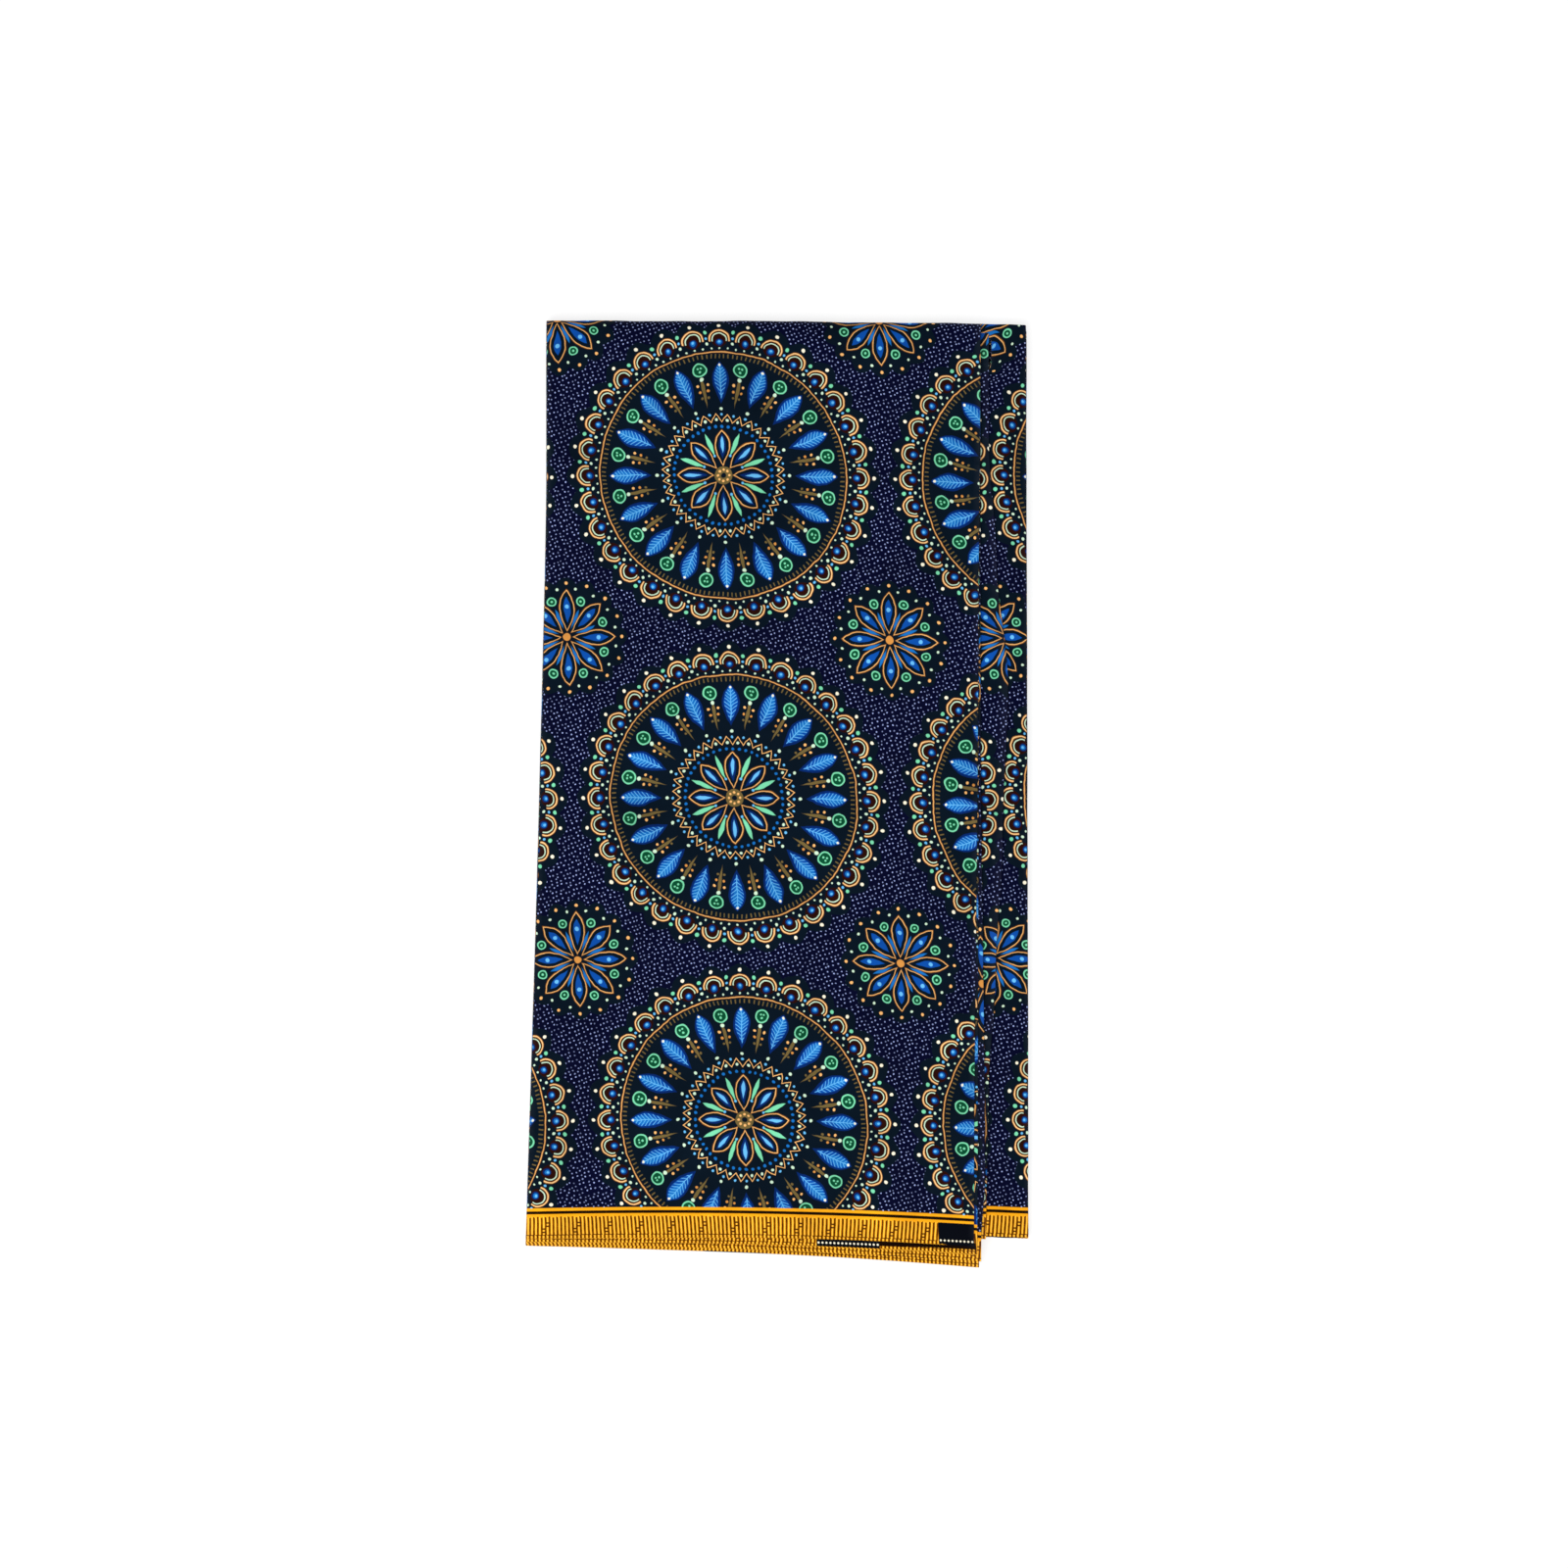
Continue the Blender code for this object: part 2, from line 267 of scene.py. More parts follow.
# The weave, and how it darkens and dents the surface
THREAD = 0.42
WEAVE_SHADE = 0.05
WEAVE_DEPTH = 0.05
WEAVE_STRENGTH = 0.35

# Uneven dye, uneven gloss, the faint glaze and nap, and the wear along the folds
BLOTCH_SIZE = 40.0
BLOTCH_DETAIL = 4.0
BLOTCH_CLARITY = 0.7
BLOTCH_SHADES = (0.62, 1.38)
GLOSS_SIZE = 18.0
GLOSS_DETAIL = 1.0
GLOSS_ROUGHNESS = (0.58, 0.74)
GLAZE = 0.018
NAP = 0.008
NAP_ROUGHNESS = 0.45
WEAR_SIZE = 6.0
WEAR_DETAIL = 1.0
FOLD_WEAR = 0.05

# The dyes
GROUND = "#030522"
LAVENDER = "#9aa9dc"
FIELD = "#05111d"
NIGHT = "#05070f"
DEEP_BLUE = "#04235f"
BLUE = "#0a489c"
AZURE = "#1668b4"
SKY = "#62b2e6"
DEEP_GREEN = "#06472c"
GREEN = "#74cfa2"
PALE_GOLD = "#fbdcaa"
GOLD = "#eeb26c"
OCHRE = "#cc8a42"
BRONZE = "#7a4a1c"
OLIVE = "#6b5a33"
PALE = "#c6e2c6"
CREAM = "#f2ecd2"
GOLDEN = "#f2a317"
STRAW = "#ffc544"
AMBER = "#b06c08"
UMBER = "#4c2400"
EARTH = "#120501"
RUST = "#250a05"
WORN = "#8a8d9c"

# Motifs of the large rosette and of the small star between four of them, from the ground upwards. Each
# is repeated round the centre: how many, from which share of a step, how far out, how far to either side
# of its spoke, its half sizes or its line's half width, and its dye.
MOTIF = ("shape", "count", "start", "at", "apart", "long", "wide", "dye")
ROSETTE = (
    ("lobes", 32, 0.0, 93.6, 0.0, 5.6, 0.0, FIELD),
    ("leaf", 8, 0.0, 17.5, 0.0, 12.0, 5.2, BRONZE),
    ("leaf", 8, 0.0, 17.5, 0.0, 11.4, 4.75, GOLD),
    ("leaf", 8, 0.0, 17.5, 0.0, 10.7, 4.25, FIELD),
    ("leaf", 8, 0.0, 18.2, 0.0, 8.0, 2.3, DEEP_BLUE),
    ("leaf", 8, 0.0, 19.4, 0.0, 5.4, 1.1, SKY),
    ("leaf", 8, 0.5, 20.5, 0.0, 8.0, 1.3, GREEN),
    ("bead", 8, 0.5, 13.0, 0.0, 0.0, 0.8, SKY),
    ("disc", 1, 0.0, 5.6, 0.0, 0.0, 0.0, OLIVE),
    ("bead", 8, 0.0, 3.5, 0.0, 0.0, 0.75, GOLD),
    ("bead", 1, 0.0, 0.0, 0.0, 0.0, 1.6, FIELD),
    ("bead", 48, 0.0, 31.0, 0.0, 0.0, 0.95, AZURE),
    ("zigzag", 32, 0.0, 36.4, 0.0, 5.0, 0.4, GOLD),
    ("bead", 32, 0.5, 35.2, 0.0, 0.0, 0.9, PALE),
    ("bead", 32, 0.0, 38.6, 0.0, 0.0, 0.8, SKY),
    ("bead", 16, 0.0, 42.2, 0.0, 0.0, 1.0, PALE),
    ("leaf", 16, 0.0, 59.0, 0.0, 13.4, 5.4, DEEP_BLUE),
    ("leaf", 16, 0.0, 60.0, 0.0, 11.6, 4.2, BLUE),
    ("leaf", 16, 0.0, 62.8, 0.0, 8.0, 2.7, AZURE),
    ("vein", 16, 0.0, 60.0, 0.0, 11.2, 3.9, SKY),
    ("bead", 16, 0.0, 70.2, 0.0, 0.0, 0.75, CREAM),
    ("leaf", 16, 0.5, 53.6, 0.0, 9.6, 1.0, OLIVE),
    ("bead", 16, 0.5, 49.6, 1.9, 0.0, 0.75, OLIVE),
    ("bead", 16, 0.5, 53.4, 2.4, 0.0, 0.8, OCHRE),
    ("bead", 16, 0.5, 57.4, 3.0, 0.0, 0.85, GOLD),
    ("bead", 16, 0.5, 61.2, 0.0, 0.0, 1.2, PALE),
    ("bead", 16, 0.5, 67.4, 0.0, 0.0, 4.4, GREEN),
    ("bead", 16, 0.5, 67.4, 0.0, 0.0, 3.5, DEEP_GREEN),
    ("bead", 16, 0.5, 68.3, 0.9, 0.0, 0.6, GREEN),
    ("bead", 16, 0.5, 66.1, 0.0, 0.0, 0.7, GREEN),
    ("tick", 168, 0.0, 75.4, 0.0, 1.3, 0.36, OLIVE),
    ("line", 1, 0.0, 78.0, 0.0, 0.0, 0.55, BRONZE),
    ("line", 1, 0.0, 78.0, 0.0, 0.0, 0.22, GOLD),
    ("bead", 96, 0.0, 80.3, 0.0, 0.0, 0.6, PALE),
    ("bead", 32, 0.0, 86.4, 0.0, 0.0, 5.2, RUST),
    ("arch", 32, 0.0, 86.0, 0.0, 6.2, 0.72, BRONZE),
    ("arch", 32, 0.0, 86.0, 0.0, 6.2, 0.38, GOLD),
    ("arch", 32, 0.0, 86.0, 0.0, 6.2, 0.08, PALE_GOLD),
    ("arch", 32, 0.0, 85.8, 0.0, 4.5, 0.32, PALE),
    ("bead", 32, 0.0, 84.4, 0.0, 0.0, 2.4, DEEP_BLUE),
    ("bead", 32, 0.0, 84.6, 0.0, 0.0, 1.6, AZURE),
    ("bead", 32, 0.0, 84.9, 0.0, 0.0, 0.8, SKY),
    ("bead", 32, 0.0, 95.4, 0.0, 0.0, 1.1, CREAM),
    ("bead", 32, 0.5, 83.4, 0.0, 0.0, 0.9, PALE),
    ("bead", 32, 0.5, 86.8, 0.0, 0.0, 0.8, SKY),
    ("bead", 32, 0.5, 90.6, 0.0, 0.0, 1.2, GREEN),
)
STAR = (
    ("lobes", 16, 0.0, 33.6, 0.0, 4.4, 0.0, FIELD),
    ("leaf", 8, 0.0, 17.0, 0.0, 13.8, 5.1, BRONZE),
    ("leaf", 8, 0.0, 17.0, 0.0, 13.2, 4.65, GOLD),
    ("leaf", 8, 0.0, 17.0, 0.0, 12.5, 4.2, FIELD),
    ("leaf", 8, 0.0, 17.6, 0.0, 8.0, 2.2, BLUE),
    ("bead", 8, 0.0, 19.5, 0.0, 0.0, 1.3, SKY),
    ("leaf", 8, 0.5, 12.6, 0.0, 6.5, 0.9, AZURE),
    ("bead", 8, 0.5, 24.6, 0.0, 0.0, 2.9, GREEN),
    ("bead", 8, 0.5, 24.6, 0.0, 0.0, 2.1, DEEP_GREEN),
    ("bead", 8, 0.5, 24.6, 0.0, 0.0, 0.7, GREEN),
    ("bead", 16, 0.5, 31.0, 0.0, 0.0, 0.8, PALE),
    ("bead", 1, 0.0, 0.0, 0.0, 0.0, 2.4, OCHRE),
    ("bead", 16, 0.0, 34.4, 0.0, 0.0, 1.0, GOLD),
)

# The border, in millimetres up from the selvedge and over along it. Its wavers are given by their size,
# and by their radians to the millimetre.
BORDER_HEIGHT = 18.7
BORDER_LINE = (14.9, 16.8)
COMB_HEIGHT = 13.0
COMB_PITCH = 2.5
COMB_SWAY = {"size": 0.09, "up": 0.45}
COMB_LEAN = {"size": 0.08, "over": 0.021}
COMB_TOP_WAVER = {"size": 0.35, "over": 1.7}

# Tones of the comb, as shares of its pitch: out from the middle of a dark tooth to the next golden stripe
TOOTH = 0.17
TOOTH_WAVER = {"size": 0.035, "over": 0.9, "up": 0.7, "bend": 2.0}
TOOTH_SHADE = 0.29
STRIPE_GLEAM = 0.38
COMB_SOFTNESS = 0.06

# The rim under the comb: its teeth's offset as a share of the comb's pitch, its broken line's half width,
# and the line's gaps, as shares of their pitch
RIM_HEIGHT = 1.6
RIM_OFFSET = 0.12
RIM_LINE = 0.3
RIM_GAP = {"pitch": 7.3, "wide": 0.09, "soft": 0.03}

# Dark breaks in the comb: stepped bars, by half sizes and places
BREAK_PITCH = 20.0
BREAK_BAR = {"wide": 1.1, "high": 0.48}
BREAK_BARS = (
    {"up": 9.3, "over": 1.25},
    {"up": 7.2, "over": 1.25},
    {"up": 5.5, "over": -1.25},
    {"up": 3.4, "over": -1.25},
)

# The dark panel with its row of dots, and the rising dark line that runs on from it: painted shadow, as
# under the front ply's selvedge
PANEL_SPAN = (248.6, 288.9)
PANEL_HEIGHT = 13.3
PANEL_DOT_PITCH = 2.5
PANEL_DOT_PLACE = 2.0
PANEL_DOT = 0.62
SELVEDGE_SHADOW_LINE = {"over": (288.5, 350.0), "up": (1.3, 5.5), "rise": 0.024}


def ease(share):
    """A smooth step from 0 to 1."""
    share = np.clip(share, 0.0, 1.0)
    return share * share * (3.0 - 2.0 * share)


def between(low, high, share):
    """What lies at a share of the way from low to high."""
    return share * (high - low) + low


def through(values, share):
    """Reads the one smooth curve through values that stand at even steps from 0 to 1."""
    place = share * (len(values) - 1)
    left = list(values)
    for span in range(1, len(values)):
        left = [
            between(left[index], left[index + 1], (place - index) / span) for index in range(len(left) - 1)
        ]
    return left[0]


def follow(table, place):
    """Reads a table of millimetres, with a smooth step from each place in it to the next."""
    steps = [step * MM for step in table]
    values = [value * MM for value in table.values()]
    read = np.full_like(place, values[0])
    for index in range(len(steps) - 1):
        share = (place - steps[index]) / (steps[index + 1] - steps[index])
        read = np.where(share > 0.0, between(values[index], values[index + 1], ease(share)), read)
    return read


def fold_slant(across):
    """How far the round fold lies below its highest place, which is at its left end."""
    share = (across / PANEL_WIDTH - FOLD_SLANT_FROM) / (1.0 - FOLD_SLANT_FROM)
    return FOLD_SLANT * np.maximum(share, 0.0) ** 2


def left_side(down):
    """Where the pack's left side is."""
    return -LEFT_LEAN * (np.maximum(down - LEAN_FROM, 0.0) / LEAN_LENGTH) ** LEAN_POWER


def panel_side(down):
    """Where the pack's right side is."""
    return PANEL_WIDTH + RIGHT_LEAN * ease(down / HIDDEN_LENGTH)


def sink(across, down, right):
    """How far the top of the pack lies below its full height."""
    end = END_SINK * ease((down - END_SINK_FROM) / (HIDDEN_LENGTH - END_SINK_FROM))
    from_left = (across - left_side(down)) / SIDE_SINK_WIDTH
    from_right = (right - across) / SIDE_SINK_WIDTH
    side = np.maximum(1.0 - from_left, 0.0) ** 2 + np.maximum(1.0 - from_right, 0.0) ** 2
    return end + SIDE_SINK * side


def swell(across, down):
    """Height of the slow swells at a place."""
    height = np.zeros_like(across)
    for wave in SWELLS:
        turns = across / (wave["across"] * MM) + down / (wave["down"] * MM)
        height += wave["height"] * MM * np.sin(2 * math.pi * turns + wave["phase"])
    return height


def crease(across, down):
    """Height of the creases at a place."""
    height = np.zeros_like(across)
    for line in CREASES:
        start = np.array(line["from"]) * MM
        run = np.array(line["to"]) * MM - start
        share = ((across - start[0]) * run[0] + (down - start[1]) * run[1]) / (run @ run)
        near = np.clip(share, 0.0, 1.0)
        away = np.hypot(across - start[0] - near * run[0], down - start[1] - near * run[1])
        fade = np.sin(math.pi * near) ** CREASE_FADE
        height += line["height"] * MM * fade * np.exp(-(away / (line["width"] * MM)) ** 2)
    return height


def wander(number, share, size):
    """Slow in-and-out of one edge along its length, always inwards."""
    waves = sum(wave["share"] * np.sin(wave["piece"] * number + wave["along"] * share) for wave in WANDERS)
    return size * (0.5 + waves)


def ripple(across):
    """How far the round fold stands out at a place along it."""
    out = np.zeros_like(across)
    for wave in FOLD_RIPPLES:
        out += wave["size"] * MM * np.sin(2 * math.pi * across / (wave["across"] * MM) + wave["phase"])
    return out


def pack_turn(depth, turn):
    """Reach and height where the pack turns. Turn is 0 on the top of it, 1 upright and 2 underneath."""
    # Plies outside the core run round it at one distance, and layers inside it are smaller
    offset = COVER - depth
    beyond = np.maximum(offset, 0.0)
    within = np.minimum(offset, 0.0)
    rise = CORE_RISE + within
    core = CORE_REACH + HAIRPIN * within
    slope = (1.0 - (1.0 - abs(turn - 1.0)) ** TURN_POWER) * math.pi / 2
    angle = np.arctan2(rise * math.sin(slope), core * math.cos(slope))
    reach = core * np.cos(angle) + beyond * math.cos(slope)
    height = rise * np.sin(angle) + beyond * math.sin(slope)
    return reach, MID_HEIGHT + math.copysign(1.0, 1.0 - turn) * height


def strip_turn(depth, turn):
    """Reach and height where the strip turns, whose outermost layer is lower on the top."""
    slope = (1.0 - (1.0 - abs(turn - 1.0)) ** TURN_POWER) * math.pi / 2
    # The outermost layer turns about the middle of the pack, and the innermost about the strip's own
    middle = between(MID_HEIGHT, HIDDEN_HEIGHT / 2, 2 * depth / HIDDEN_HEIGHT)
    above = HIDDEN_HEIGHT - depth - middle
    below = depth - middle
    reach = (FOLD_REACH - STRIP_TIGHTNESS * depth) * math.cos(slope)
    return reach, middle + np.where(turn < 1.0, above, below) * math.sin(slope)


def whole(row):
    """Whether a pleat is one of the whole pack, and not of the strip on the right."""
    return "edge" in row


def radii(row):
    """Half heights of a pleat's outer surface and of its inner one."""
    outer = row["height"] * MM / 2
    return outer, outer - CLOTH


def section(tall, radius, columns):
    """A flat tube's section, as share of the width, inset from the sides, and height over its middle."""
    flat = np.linspace(0.0, 1.0, columns + 1)
    nose = np.linspace(0.0, math.pi, NOSE_STEPS + 2)[1:-1]
    round_end = tall / 2 - radius * np.sin(nose)
    share = np.concatenate([flat, np.ones(NOSE_STEPS), flat[::-1], np.zeros(NOSE_STEPS)])
    along = tall / 2 * (1.0 - 2.0 * flat)
    inset = np.concatenate([along, -round_end, along[::-1], round_end[::-1]])
    up = np.concatenate([
        np.full(columns + 1, radius), radius * np.cos(nose),
        np.full(columns + 1, -radius), -radius * np.cos(nose),
    ])
    return share, inset, up


def stations(rows):
    """Steps along a pleat: a stretch, and how far along it, or from 0 to 2 round the turn."""
    top = [("top", share) for share in np.linspace(0.0, 1.0, rows + 1) ** TOP_CROWDING]
    turn = [("turn", 2.0 * share) for share in np.linspace(0.0, 1.0, TURN_ROWS + 1)[1:-1]]
    under = [("under", share) for share in np.linspace(0.0, 1.0, rows // UNDER_SPARSENESS + 1)]
    return top + turn + under


def tube(row, number, radius, turn_of, left_of, right_of, wandering):
    """Places one surface of a pleat: across, down, height, how upright and how far round it is.

    The shares in wandering say how much its left and right folds wander.
    """
    tall = row["height"] * MM
    middle = row["depth"] * MM + tall / 2
    share, inset, up = section(tall, radius, row["columns"])
    depth = middle - up
    waves = np.sin(LAG_WAVE["across"] * share + LAG_WAVE["piece"] * number)
    lag = (0.5 - up / tall) * (PLY_LAG + PLY_LAG_WANDER * waves)
    selvedge = through([value * MM for value in SELVEDGES[row.get("edge", "hidden")].values()], share)
    low_selvedge = LOWER_SELVEDGE - wander(number + LOWER_PHASE, share, LOWER_WANDER) + lag
    bend_across = share * FRONT_WIDTH if whole(row) else between(STRIP_CLOSED_UP, PANEL_WIDTH, share)
    bend = FOLD_REACH + fold_slant(bend_across)
    places = []
    for stretch, step in stations(row["rows"]):
        turn = {"top": 0.0, "turn": step, "under": 2.0}[stretch]
        reach, height = turn_of(depth, turn)
        first = {"top": selvedge + lag, "turn": bend, "under": bend}[stretch]
        last = {"top": bend, "turn": bend, "under": low_selvedge}[stretch]
        down = between(first, last, step) - reach
        lean = wander(number, down / HIDDEN_LENGTH, EDGE_WANDER)
        left = left_of(down, turn) + lean * wandering[0]
        right = right_of(down, turn) - lean * wandering[1]
        across = between(left, right, share) + inset
        upright = 1.0 - abs(turn - 1.0)
        down = down - ripple(across) * upright
        places.append((across, down, height, np.full_like(across, upright), np.full_like(across, turn)))
    return [np.array(part) for part in zip(*places)]


def settle(across, down, height, upright, right):
    """Lets a pleat sink and swell with the pack, and droop where it hangs over the open end."""
    # The plies on top sink whole, and the layers under them are squeezed
    lowered = sink(across, down, right) * (1.0 - upright)
    squeezed = height * (1.0 - lowered / HIDDEN_HEIGHT)
    height = np.where(height > HIDDEN_HEIGHT, height - lowered, squeezed)
    height = height + swell(across, down) * height / PACK_HEIGHT * (1.0 - upright)
    overhang = np.maximum(down - HIDDEN_LENGTH, 0.0)
    return height - DROOP * overhang**2


def pleat(row, number):
    """One pleat of the whole pack."""
    side = SIDES[row["edge"]]

    def right_side(down, turn):
        # Underneath, none reaches beyond the front panel's width
        under = min(side[0], 0.0) * MM
        return FRONT_WIDTH + between(follow(side, down), under, ease(turn - 1.0))

    wandering = (1.0 if row["node"] == "hidden_layers" else OUTER_SHARE, 0.0)
    shells = []
    for radius in radii(row):
        across, down, height, upright, turn = tube(
            row, number, radius, pack_turn, lambda down, turn: left_side(down), right_side, wandering,
        )
        right = np.where(height > HIDDEN_HEIGHT, FAR_RIGHT, panel_side(down))
        height = settle(across, down, height, upright, right)
        if row["name"] == "front_cloth":
            # Only its upper ply is creased
            on_top = (turn < 1.0) * (np.arange(across.shape[1]) <= row["columns"])
            height = height + crease(across, down) * (1.0 - upright) * on_top
        shells.append((across, down, height))
    return shells


def strip(row, number):
    """One pleat of the strip on the right."""

    def inner_side(down, turn):
        closing = ease((turn - STRIP_CLOSE_FROM) / (STRIP_CLOSE_BY - STRIP_CLOSE_FROM)) * row["closes"]
        inner = between(follow(STRIP_INNER, down), STRIP_CLOSED_UP, closing)
        return between(inner, STRIP_INNER_UNDER, ease(turn - 1.0))

    shells = []
    for radius in radii(row):
        across, down, height, upright, turn = tube(
            row, number, radius, strip_turn, inner_side, lambda down, turn: panel_side(down), (0.0, 1.0),
        )
        height = settle(across, down, height, upright, panel_side(down))
        shells.append((across, down, height))
    return shells


def way_along(places, axis):
    """Distance walked over a surface's points, along one axis of their array."""
    steps = np.linalg.norm(np.diff(places, axis=axis), axis=-1)
    start = np.zeros_like(steps.take([0], axis=axis))
    return np.concatenate([start, np.cumsum(steps, axis=axis)], axis=axis)


def cloth_places(shell, row):
    """Where each point lies on the flat cloth: across it, along it, and its distance from a selvedge."""
    across = shell[0]
    places = np.stack(shell, axis=-1)
    along = way_along(places, 0)
    edge = np.minimum(along, along[-1] - along)
    round_it = way_along(places, 1)
    # The print keeps its place along the middle of the upper ply
    anchor = row["columns"] // 2
    over = across[:, anchor:anchor + 1] + round_it - round_it[:, anchor:anchor + 1]
    over = over + row["print"] * MM + GRAIN_SHEAR * along
    return np.stack([over, along, edge], axis=-1)


def fold_nearness(shell, row):
    """1 along a pleat's two side folds, fading to 0 beside them."""
    round_it = way_along(np.stack(shell, axis=-1), 1)
    # The points in the middle of the right nose and of the left one
    ply = row["columns"] + 1
    right = ply + NOSE_STEPS // 2
    left = 2 * ply + NOSE_STEPS + NOSE_STEPS // 2
    past_left = round_it + round_it[:, -1:] - round_it[:, left:left + 1]
    off_left = np.minimum(abs(round_it - round_it[:, left:left + 1]), past_left)
    away = np.minimum(abs(round_it - round_it[:, right:right + 1]), off_left)
    return np.clip(1.0 - away / WEAR_REACH, 0.0, 1.0)


def build(shells, row):
    """Makes a closed thin mesh between a pleat's outer and inner surfaces."""
    rows, ring = shells[0][0].shape
    points = []
    cloth = []
    folds = []
    for shell in shells:
        across, down, height = shell
        points.append(np.stack([across + ACROSS_ORIGIN, DOWN_ORIGIN - down, height], axis=-1))
        cloth.append(cloth_places(shell, row))
        folds.append(fold_nearness(shell, row))
    index = np.arange(2 * rows * ring).reshape(2, rows, ring)
    after = np.roll(index, -1, axis=2)
    quads = []
    # The outer surface faces out and the inner one in, and a rim at each end joins them
    for side in (0, 1):
        corners = [index[side, :-1], index[side, 1:], after[side, 1:], after[side, :-1]]
        quads.append(np.stack(corners if side else corners[::-1], axis=-1).reshape(-1, 4))
    for end in (0, rows - 1):
        corners = [index[0, end], after[0, end], after[1, end], index[1, end]]
        quads.append(np.stack(corners if end else corners[::-1], axis=-1).reshape(-1, 4))
    mesh = bpy.data.meshes.new(row["name"])
    mesh.from_pydata(np.concatenate(points).reshape(-1, 3).tolist(), [], np.concatenate(quads).tolist())
    attribute = mesh.attributes.new("cloth", "FLOAT_VECTOR", "POINT")
    attribute.data.foreach_set("vector", np.concatenate(cloth).reshape(-1).astype(np.float32))
    attribute = mesh.attributes.new("fold", "FLOAT", "POINT")
    attribute.data.foreach_set("value", np.concatenate(folds).reshape(-1).astype(np.float32))
    mesh.shade_smooth()
    mesh.set_sharp_from_angle(angle=SHARP_ANGLE)
    thing = bpy.data.objects.new(row["name"], mesh)
    bpy.context.scene.collection.objects.link(thing)
    return thing


class Value:
    """A value in a material's node tree, on which arithmetic makes Math nodes."""

    def __init__(self, tree, socket):
        self.tree = tree
        self.socket = socket

    def math(self, operation, *others):
        """A Math node's result for this value and the others, each a Value or a number."""
        node = self.tree.nodes.new("ShaderNodeMath")
        node.operation = operation
        for index, value in enumerate((self, *others)):
            if isinstance(value, Value):
                self.tree.links.new(value.socket, node.inputs[index])
            else:
                node.inputs[index].default_value = value
        return Value(self.tree, node.outputs[0])

    def __add__(self, other):
        return self.math("ADD", other)

    def __sub__(self, other):
        return self.math("SUBTRACT", other)

    def __mul__(self, other):
        return self.math("MULTIPLY", other)

    def __truediv__(self, other):
        return self.math("DIVIDE", other)

    def __abs__(self):
        return self.math("ABSOLUTE")

    def sine(self):
        return self.math("SINE")

    def cosine(self):
        return self.math("COSINE")

    def swing(self, size):
        """Back and forth from 0 to size."""
        return self.math("PINGPONG", size)

    def off_nearest(self):
        """Signed distance to the nearest whole number."""
        return self - self.math("ROUND")

    def below(self, limit, soft=PRINT_SOFTNESS):
        """1 where the value is below the limit and 0 where it is above, soft between them."""
        value, limit = (self - limit, 0.0) if isinstance(limit, Value) else (self, limit)
        steepness = -0.5 / soft
        mask = value.math("MULTIPLY_ADD", steepness, 0.5 - steepness * limit)
        mask.socket.node.use_clamp = True
        return mask

    def above(self, limit, soft=PRINT_SOFTNESS):
        """1 where the value is above the limit and 0 where it is below."""
        return self.below(limit, -soft)

    def inside(self, low, high, soft=PRINT_SOFTNESS):
        """1 between two limits."""
        return abs(self - (low + high) / 2).below((high - low) / 2, soft)


def reach_of(over, up):
    """Distance of a place from the middle."""
    return (over * over + up * up).math("SQRT")


def dye(code):
    """Linear colour of a web colour."""
    parts = [int(code[start:start + 2], 16) / 255 for start in (1, 3, 5)]
    return (*[part / 12.92 if part <= 0.04045 else ((part + 0.055) / 1.055) ** 2.4 for part in parts], 1.0)


def mixed(tree, blend, factor, first, second):
    """Two colours mixed. Each value is a socket, or is set on the node's own."""
    node = tree.nodes.new("ShaderNodeMix")
    node.data_type = "RGBA"
    node.blend_type = blend
    sockets = [socket for socket in node.inputs if socket.enabled]
    for socket, value in zip(sockets, (factor, first, second)):
        if isinstance(value, bpy.types.NodeSocket):
            tree.links.new(value, socket)
        else:
            socket.default_value = value
    return next(socket for socket in node.outputs if socket.enabled)


def joined(tree, over, up):
    """A place as a vector."""
    node = tree.nodes.new("ShaderNodeCombineXYZ")
    tree.links.new(over.socket, node.inputs["X"])
    tree.links.new(up.socket, node.inputs["Y"])
    return node.outputs["Vector"]


def noise(tree, place, size, detail=0.0, clarity=0.5):
    """Noise from 0 to 1, in blots of one size, with finer ones in them."""
    node = tree.nodes.new("ShaderNodeTexNoise")
    node.noise_dimensions = "2D"
    node.inputs["Scale"].default_value = 1.0 / size
    node.inputs["Detail"].default_value = detail
    node.inputs["Roughness"].default_value = clarity
    tree.links.new(place, node.inputs["Vector"])
    return Value(tree, node.outputs["Fac"])


class Print:
    """Colours laid over one another, as a printer's screens are."""

    def __init__(self, tree, ground):
        self.tree = tree
        self.colour = dye(ground)

    def lay(self, colour, mask):
        """Lays one dye where the mask is 1."""
        self.colour = mixed(self.tree, "MIX", mask.socket, self.colour, dye(colour))


